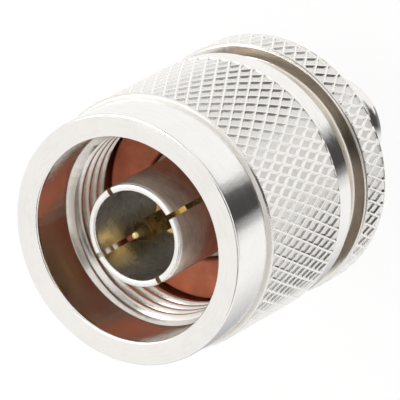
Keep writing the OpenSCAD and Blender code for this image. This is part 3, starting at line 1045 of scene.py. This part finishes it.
# %% [markdown]
# ## Pins, beads and gasket
# The two pins carry the signal through the middle of the adapter, the white beads hold them on the axis, and
# the rubber gasket keeps water out of the thread. They are plain turned or moulded rods and rings. Cylinders
# with bevels could stand for them, but one profile for each gives every step its own rounding. A pin's
# profile starts and ends on the axis, where the weld closes its poles.

# %% The N plug's pin
ROUND_ANGLES = even_angles(96)
PIN_R = 0.825
PIN_LENGTH = 5.3
POINT_R = 0.2
POINT_EASE = 0.12
CONE_EASE = 0.25
STEP_EASE = 0.15
STEM_R = 1.05
TAIL_R = 0.45
TAIL_LENGTH = 2.0
PRESS_GAP = 0.01

bead_low, bead_high, bead_r = reach("n_insulator")
shoulder_top = pin_tip - PIN_LENGTH
socket_r = TAIL_R + PRESS_GAP
socket_top = pin_low + TAIL_LENGTH + PRESS_GAP
n_pin_profile = eased([
    (0, pin_tip, 0),
    (POINT_R, pin_tip, POINT_EASE),
    (PIN_R, pin_tip - POINT_LENGTH, CONE_EASE),
    (PIN_R, shoulder_top, SMALL_EASE),
    (pin_shoulder_r, shoulder_top, STEP_EASE),
    (pin_shoulder_r, bead_high, SMALL_EASE),
    (STEM_R, bead_high, 0),
    (STEM_R, pin_low, SMALL_EASE),
    (socket_r, pin_low, 0),
    (socket_r, socket_top, 0),
    (0, socket_top, 0),
])
n_pin = piece_of("n_centre_pin", [turned_skin(n_pin_profile, ROUND_ANGLES, dull_gold_painted_cone)])
fit(n_pin, "n_pin", "adapter")

# %% The SMA plug's pin
SMA_PIN_R = 0.457
SMA_STEM_R = 0.635
SMA_POINT_LENGTH = 0.35
SMA_POINT_EASE = 0.08
SMA_CONE_EASE = 0.1
TINY_EASE = 0.02
PIN_COLLAR_LENGTH = 0.4

dielectric_low, dielectric_high, dielectric_r = reach("sma_insulator")
sma_tip, sma_tail, pin_collar_r = reach("sma_pin")
pin_collar_low = bead_low - PIN_COLLAR_LENGTH
sma_pin_profile = eased([
    (0, sma_tip, 0),
    (POINT_R, sma_tip, SMA_POINT_EASE),
    (SMA_PIN_R, sma_tip + SMA_POINT_LENGTH, SMA_CONE_EASE),
    (SMA_PIN_R, dielectric_low, 0),
    (SMA_STEM_R, dielectric_low, TINY_EASE),
    (SMA_STEM_R, pin_collar_low, 0),
    (pin_collar_r, pin_collar_low, SMALL_EASE),
    (pin_collar_r, bead_low, SMALL_EASE),
    (TAIL_R, bead_low, 0),
    (TAIL_R, sma_tail, SMALL_EASE),
    (0, sma_tail, 0),
])
sma_pin = piece_of("sma_centre_pin", [turned_skin(sma_pin_profile, ROUND_ANGLES, gold)])
fit(sma_pin, "sma_pin", "adapter")

# %% Beads and gasket
RUBBER_EASE = 0.22
GASKET_GAP = 0.15
WIDE_ANGLES = even_angles(160)


def turned_ring(name, corners, finish, angles=ROUND_ANGLES):
    """A closed ring from one profile that doesn't touch the axis."""
    return piece_of(name, [turned_skin(eased(corners, closed=True), angles, finish, closed=True)])


bead_bore_r = STEM_R + PRESS_GAP
bead = turned_ring("n_bead", [
    (bead_bore_r, bead_low, SMALL_EASE),
    (bead_r, bead_low, SMALL_EASE),
    (bead_r, bead_high, SMALL_EASE),
    (bead_bore_r, bead_high, SMALL_EASE),
], plastic)
fit(bead, "n_insulator", "adapter")
stem_bore_r = SMA_STEM_R + PRESS_GAP
collar_bore_r = pin_collar_r + PRESS_GAP
collar_floor = dielectric_high - PIN_COLLAR_LENGTH
dielectric = turned_ring("sma_dielectric", [
    (stem_bore_r, dielectric_low, TINY_EASE),
    (dielectric_r, dielectric_low, SMALL_EASE),
    (dielectric_r, dielectric_high, 0),
    (collar_bore_r, dielectric_high, 0),
    (collar_bore_r, collar_floor, 0),
    (stem_bore_r, collar_floor, 0),
], plastic)
fit(dielectric, "sma_insulator", "adapter")
gasket_bore_r = sleeve_base_r + GASKET_GAP
seal = turned_ring("gasket_ring", [
    (gasket_bore_r, gasket_low, RUBBER_EASE),
    (gasket_r, gasket_low, RUBBER_EASE),
    (gasket_r, gasket_high, RUBBER_EASE),
    (gasket_bore_r, gasket_high, RUBBER_EASE),
], rubber, WIDE_ANGLES)
fit(seal, "gasket", "adapter")

# %% [markdown]
# ## The body and the retaining rings
# The body carries everything, but the nuts hide it, apart from its shoulder between them and the SMA plug's
# contact sleeve. It is turned with its two ring grooves, so that nothing shows through when a nut turns. The
# split rings could be turned and cut too, but their CAD shape is right, so they only get their bronze.

# %% Turn the body
SMA_NECK_R = 2.7
SMA_SLEEVE_R = 2.29
SMA_NECK_HEIGHT = 4.6
NECK_EASE = 0.28
N_GROOVE_R = 5.7
SMA_GROOVE_R = 2.35

sma_ring_low, sma_ring_high, _ = reach("sma_retaining_ring")
sma_front, sma_back, hex_r = reach("sma_coupling_nut")
n_groove_top = ring_high + AXIAL_PLAY
sma_groove_top = sma_ring_high + AXIAL_PLAY
shoulder_height = sma_back + 2 * AXIAL_PLAY
bead_seat_r = bead_r + PRESS_GAP
dielectric_seat_r = dielectric_r + PRESS_GAP
body = turned_ring("turned_body", [
    (bead_seat_r, body_top, SMALL_EASE),
    (flange_r, body_top, SMALL_EASE),
    (flange_r, flange_back, SMALL_EASE),
    (NECK_R, flange_back, 0),
    (NECK_R, n_groove_top, 0),
    (N_GROOVE_R, n_groove_top, 0),
    (N_GROOVE_R, ring_low, 0),
    (NECK_R, ring_low, 0),
    (NECK_R, shoulder_height, NECK_EASE),
    (SMA_NECK_R, shoulder_height, 0),
    (SMA_NECK_R, sma_groove_top, 0),
    (SMA_GROOVE_R, sma_groove_top, 0),
    (SMA_GROOVE_R, sma_ring_low, 0),
    (SMA_NECK_R, sma_ring_low, 0),
    (SMA_NECK_R, SMA_NECK_HEIGHT, SMALL_EASE),
    (SMA_SLEEVE_R, SMA_NECK_HEIGHT, 0),
    (SMA_SLEEVE_R, body_low, SMALL_EASE),
    (dielectric_seat_r, body_low, SMALL_EASE),
    (dielectric_seat_r, bead_low, 0),
    (bead_seat_r, bead_low, 0),
], nickel_inside, WIDE_ANGLES)
fit(body, "adapter_body", "adapter")

# %% Bronze on the retaining rings
for node in ("n_retaining_ring", "sma_retaining_ring"):
    ring_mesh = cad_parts[node].data
    ring_mesh.materials.clear()
    ring_mesh.materials.append(bronze)
    print(node, "is", bronze.name)

# %% [markdown]
# ## The small coupling nut
# A hexagon with its corners chamfered by a cone, and a smooth round rim in front. A Boolean of a prism and a
# cone would give it, but with long thin faces. Here each ring of the lathe takes the smaller of the hexagon's
# radius and the cone's at its height, so the cone bites arcs into the six flats.

# %% Rings of the small nut
HEX_ANGLES = even_angles(240)
HEX_SIDE = math.pi / 3
RIM_R = 4.0
RIM_HEIGHT = 1.9
HEX_STEP = 0.15
HEX_DROP = HEX_STEP / 3
CHAMFER_RISE = math.tan(math.radians(30))
CHAMFER_ROWS = 14
CORNER_WEAR = 0.04

across_half = hex_r * math.cos(HEX_SIDE / 2)
hex_low = RIM_HEIGHT - HEX_DROP
chamfer_low_r = across_half - HEX_STEP
chamfer_depth = hex_r - chamfer_low_r
chamfer_height = chamfer_depth * CHAMFER_RISE


def hex_ring(cone_r, z):
    """A ring of the hexagon, held inside a cone's radius at this height."""
    flat = across_half / np.cos(np.mod(HEX_ANGLES, HEX_SIDE) - HEX_SIDE / 2)
    return ring_at(np.minimum(np.minimum(flat, hex_r - CORNER_WEAR), cone_r), z, HEX_ANGLES)


shares = [k / CHAMFER_ROWS for k in range(CHAMFER_ROWS + 1)]
hex_rings = [hex_ring(chamfer_low_r + k * chamfer_depth, hex_low + k * chamfer_height) for k in shares]
hex_rings += [hex_ring(hex_r - k * chamfer_depth, sma_back - chamfer_height * (1 - k)) for k in shares]
print("Hexagon", round(2 * across_half, 2), "mm across its flats")

# %% Weld the small nut
SMA_THREAD_R = 3.175
SMA_CREST_R = 2.85
SMA_PITCH = INCH / 36
SMA_THREAD_TOP = 4.2
SMA_RELIEF_DEPTH = 0.075
SMA_LIP = 5.0
SMA_RING_ROOM_R = 3.15
RIM_EASE = 0.13

sma_relief_r = SMA_THREAD_R + SMA_RELIEF_DEPTH
sma_bore_r = SMA_NECK_R + RUNNING_GAP
sma_room_low = sma_ring_low - AXIAL_PLAY
sma_room_high = sma_ring_high + 2 * AXIAL_PLAY
rim_profile = eased([
    (SMA_THREAD_R, sma_front, 0),
    (RIM_R, sma_front, RIM_EASE),
    (RIM_R, hex_low, 0),
    (chamfer_low_r, hex_low, 0),
])
back_profile = eased([
    (chamfer_low_r, sma_back, 0),
    (sma_bore_r, sma_back, SMALL_EASE),
    (sma_bore_r, sma_room_high, 0),
    (SMA_RING_ROOM_R, sma_room_high, 0),
    (SMA_RING_ROOM_R, sma_room_low, 0),
    (sma_bore_r, sma_room_low, 0),
    (sma_bore_r, SMA_LIP, 0),
    (sma_relief_r, SMA_LIP, 0),
    (sma_relief_r, SMA_THREAD_TOP, 0),
    (SMA_THREAD_R, SMA_THREAD_TOP, 0),
])
rim_rings = [ring_at(r, z, HEX_ANGLES) for r, z in rim_profile]
back_rings = [ring_at(r, z, HEX_ANGLES) for r, z in back_profile]
sma_thread = thread_skin(SMA_CREST_R, SMA_THREAD_R, SMA_PITCH, sma_front, SMA_THREAD_TOP, HEX_ANGLES)
small_nut = piece_of("small_coupling_nut", [
    (*skin(rim_rings + hex_rings + back_rings), nickel),
    (*sma_thread, nickel_inside),
])
fit(small_nut, "sma_coupling_nut", "sma_nut")

# %% [markdown]
# ## Stage and light
# Bright metal shows whatever stands round it, so the stage is part of the finish. Seen from above, the
# upright walls of the nut mirror the floor in front of it, and the front ring mirrors the light behind it.
# Lamps alone would leave the metal white and flat. The floor and the room are white, and two things that
# only reflections see give the metal its contrast. A card on the floor has a frayed dark part that draws the
# stripe down the nut, and a far part that darkens the flanks of the knurl. A screen above it has a dark strip
# that goes on with the stripe in the pits, and brown ends that colour the groove, whose corner turns the view
# up.

# %% The camera's side of the stage
CAMERA_SIDE = math.radians(45)
UP = Vector((0, 0, 1))
toward = Vector((math.sin(CAMERA_SIDE), -math.cos(CAMERA_SIDE), 0))
across = Vector((math.cos(CAMERA_SIDE), math.sin(CAMERA_SIDE), 0))


def way(degrees):
    """A level direction at an angle from the camera's side, counted towards its left."""
    angle = math.radians(degrees)
    return toward * math.cos(angle) - across * math.sin(angle)


def stage_shape(name, points, faces):
    """A mesh that belongs to the stage and not to the part."""
    mesh = bpy.data.meshes.new(name)
    mesh.from_pydata(points, [], faces)
    shape = in_scene(name, mesh)
    return shape


print("The camera stands towards", [round(part, 2) for part in toward])

# %% Floor
FLOOR_HALF = 1.5
FLOOR_WHITE = (0.93, 0.93, 0.93, 1)
PURE_WHITE = (1, 1, 1, 1)
BACKDROP_SHARE = 0.9


def close_mix(tree, share, first, second):
    """Ends a tree in a mix of two shaders."""
    both = tree.node("ShaderNodeMixShader", {}, {0: share, 1: first, 2: second})
    tree.node("ShaderNodeOutputMaterial", {}, {"Surface": both})


floor = stage_shape("floor", [
    (-FLOOR_HALF, -FLOOR_HALF, 0),
    (FLOOR_HALF, -FLOOR_HALF, 0),
    (FLOOR_HALF, FLOOR_HALF, 0),
    (-FLOOR_HALF, FLOOR_HALF, 0),
], [(0, 1, 2, 3)])
floor_paint, tree = new_finish("floor_paint")
matt = tree.node("ShaderNodeBsdfDiffuse", {}, {"Color": FLOOR_WHITE})
glow = tree.node("ShaderNodeEmission", {}, {"Color": PURE_WHITE, "Strength": 1.0})
seen = tree.node("ShaderNodeLightPath", {}, {}, "Is Camera Ray")
for kind in ("Is Glossy Ray", "Is Transmission Ray"):
    seen = seen.at_least(tree.node("ShaderNodeLightPath", {}, {}, kind))
close_mix(tree, seen * BACKDROP_SHARE, matt, glow)
floor.data.materials.append(floor_paint)
print("Floor", 2 * FLOOR_HALF, "m wide")

# %% Card on the floor
CARD_FROM = -36
CARD_TO = 170
CARD_STEP = 6
CARD_NEAR = 4.02
CARD_FAR = 120.0
CARD_LIFT = 0.05


def strip_faces(columns, rows):
    """Four-sided faces over columns of points, each column listed from its first row to its last."""
    faces = []
    for i in range(columns - 1):
        for j in range(rows - 1):
            a = i * rows + j
            faces.append((a, a + 1, a + rows + 1, a + rows))
    return faces


def only_in_reflections(shape):
    """Hides a shape from the camera, and keeps it from changing the light on the floor."""
    shape.visible_camera = False
    shape.visible_diffuse = False
    shape.visible_shadow = False


card_angles = range(CARD_FROM, CARD_TO + 1, CARD_STEP)
card_ends = (CARD_NEAR, CARD_FAR)
card_points = [(way(side) * r + UP * CARD_LIFT) * MM for side in card_angles for r in card_ends]
card = stage_shape("card", card_points, strip_faces(len(card_angles), len(card_ends)))
only_in_reflections(card)
print("Card from", CARD_NEAR, "to", CARD_FAR, "mm, of", len(card.data.polygons), "faces")

# %% Paint the card
CARD_DARK = (0.072, 0.067, 0.068)
CARD_GREY = (0.50, 0.505, 0.51)
FAR_GREY = (0.075, 0.072, 0.07)
DARK_START = (-2, 3)
DARK_END = (24, 44)
FAR_AWAY = (42, 56)
FAR_START = (-42, -6)
FAR_END = (34, 62)
FRAY = {"Scale": 3.0, "Detail": 3.0}
FRAY_MIDDLE = 0.5
FRAY_WIDTH = 44.0
GREY_START = (60, 130)
CARD_EDGE = (3.6, 4.3)
DEGREE = 180 / math.pi


def dot(tree, spot, direction):
    """How far a stage point lies along a direction."""
    return tree.node("ShaderNodeVectorMath", {"operation": "DOT_PRODUCT"}, {0: spot, 1: direction}, "Value")


def stage_spot(tree):
    """A stage point, and its angle from the camera's side in degrees, counted towards its left."""
    spot = tree.node("ShaderNodeTexCoord", {}, {}, "Object")
    return spot, tree.maths("ARCTAN2", dot(tree, spot, -across), dot(tree, spot, toward)) * DEGREE


def close_cover(tree, cover, colour):
    """Ends a tree in a plain colour where the cover is 1, and in nothing where it is 0."""
    clear = tree.node("ShaderNodeBsdfTransparent", {}, {})
    glow = tree.node("ShaderNodeEmission", {}, {"Color": colour, "Strength": 1.0})
    close_mix(tree, cover, clear, glow)


card_paint, tree = new_finish("card_paint")
spot, angle = stage_spot(tree)
away = tree.node("ShaderNodeVectorMath", {"operation": "LENGTH"}, {0: spot}, "Value") / MM
fray = tree.node("ShaderNodeTexNoise", {"noise_dimensions": "1D"}, {"W": away, **FRAY})
frayed = angle + (fray - FRAY_MIDDLE) * FRAY_WIDTH
near_dark = frayed.between(*DARK_START) * (1 - angle.between(*DARK_END))
far_dark = angle.between(*FAR_START) * (1 - angle.between(*FAR_END))
far = away.between(*FAR_AWAY)
dark = near_dark + (far_dark - near_dark) * far
shade = dark.blend((*CARD_GREY, 1), far.tint(CARD_DARK, FAR_GREY))
cover = dark.at_least(angle.between(*GREY_START)) * away.between(*CARD_EDGE)
close_cover(tree, cover, shade)
card.data.materials.append(card_paint)
print("Card dark up to", DARK_END, "degrees, grey from", GREY_START)

# %% Screen round the camera
SCREEN_R = 0.9
SCREEN_HALF = 120
SCREEN_TOP = 72
SCREEN_STEP = 4
wide = range(-SCREEN_HALF, SCREEN_HALF + 1, SCREEN_STEP)
tall = [math.radians(height) for height in range(0, SCREEN_TOP + 1, SCREEN_STEP)]
screen_points = [(way(side) * math.cos(up) + UP * math.sin(up)) * SCREEN_R for side in wide for up in tall]
screen = stage_shape("screen", screen_points, strip_faces(len(wide), len(tall)))
only_in_reflections(screen)
print("Screen of", len(screen.data.polygons), "faces round the camera")

# %% Paint the screen
STRIP_DARK = (0.07, 0.062, 0.054)
SCREEN_BROWN = (0.17, 0.14, 0.11)
STRIP_START = (-10, -2)
STRIP_END = (28, 42)
STRIP_LOW = (30, 40)
LEFT_END = (-64, -36)
BROWN_LOW = (40, 48)
TOP_FADE = (62, 72)
SIDE_FADE = (100, 120)
screen_paint, tree = new_finish("screen_paint")
spot, angle = stage_spot(tree)
rise = tree.node("ShaderNodeSeparateXYZ", {}, {0: spot}, "Z")
height = tree.maths("ARCSINE", rise / SCREEN_R) * DEGREE
right = angle.between(*STRIP_END)
brown = right.at_least(1 - angle.between(*LEFT_END))
strip = angle.between(*STRIP_START) * (1 - right) * height.between(*STRIP_LOW)
inside = (1 - height.between(*TOP_FADE)) * (1 - tree.maths("ABSOLUTE", angle).between(*SIDE_FADE))
cover = (brown * height.between(*BROWN_LOW)).at_least(strip) * inside
close_cover(tree, cover, brown.tint(STRIP_DARK, SCREEN_BROWN))
screen.data.materials.append(screen_paint)
print("Dark strip up to", STRIP_END, "degrees from the camera's side")

# %% Room and lamp
ROOM_WHITE = (0.94, 0.93, 0.915, 1)
ROOM_STRENGTH = 1.0
KEY_ASIDE = 140
KEY_BEHIND = 60
KEY_HEIGHT = 260
KEY_AIM = 15
KEY_WIDTH = 160
KEY_WATTS = 0.25
world = bpy.data.worlds.new("white_room")
world.use_nodes = True
world.node_tree.nodes.clear()
room = Wire(world.node_tree)
sky = room.node("ShaderNodeBackground", {}, {"Color": ROOM_WHITE, "Strength": ROOM_STRENGTH})
room.node("ShaderNodeOutputWorld", {}, {"Surface": sky})
bpy.context.scene.world = world

key_place = across * KEY_ASIDE - toward * KEY_BEHIND + UP * KEY_HEIGHT
key = bpy.data.lights.new("key_lamp", "AREA")
key.shape = "SQUARE"
key.size = KEY_WIDTH * MM
key.energy = KEY_WATTS
key_lamp = in_scene("key_lamp", key)
key_lamp.location = key_place * MM
key_lamp.rotation_mode = "QUATERNION"
key_lamp.rotation_quaternion = (UP * KEY_AIM - key_place).to_track_quat("-Z", "Y")
print("Room at", ROOM_STRENGTH, "with one soft lamp of", KEY_WATTS, "W")

# %% [markdown]
# ## Camera
# The photograph looks down on the mouth with a long lens, held almost upside down: the adapter's axis runs
# from lower left to upper right. The camera could be placed by eye. Here its height, roll and aim come from
# fitting the circles of the mouth and bands, which leaves less to guess.

# %% Place the camera
CAMERA_HEIGHT = math.radians(52.8)
CAMERA_ROLL = math.radians(-118.69)
LENS = 700.0
SENSOR = 36.0
FRAME_WIDTH = 29.92
AIM_DROP = 6.258
upright = UP * math.cos(CAMERA_HEIGHT) - toward * math.sin(CAMERA_HEIGHT)
back = toward * math.cos(CAMERA_HEIGHT) + UP * math.sin(CAMERA_HEIGHT)
right = across * math.cos(CAMERA_ROLL) + upright * math.sin(CAMERA_ROLL)
up = upright * math.cos(CAMERA_ROLL) - across * math.sin(CAMERA_ROLL)
aim = UP * nut_front - upright * AIM_DROP
eye = aim + back * (LENS / SENSOR * FRAME_WIDTH)
lens = bpy.data.cameras.new("camera")
lens.lens = LENS
lens.sensor_width = SENSOR
camera = in_scene("camera", lens)
camera.matrix_world = Matrix.Translation(eye * MM) @ Matrix((right, up, back)).transposed().to_4x4()
bpy.context.scene.camera = camera
bpy.context.scene.view_settings.view_transform = "Standard"
print("Camera", round((eye - aim).length), "mm away")

# %% [markdown]
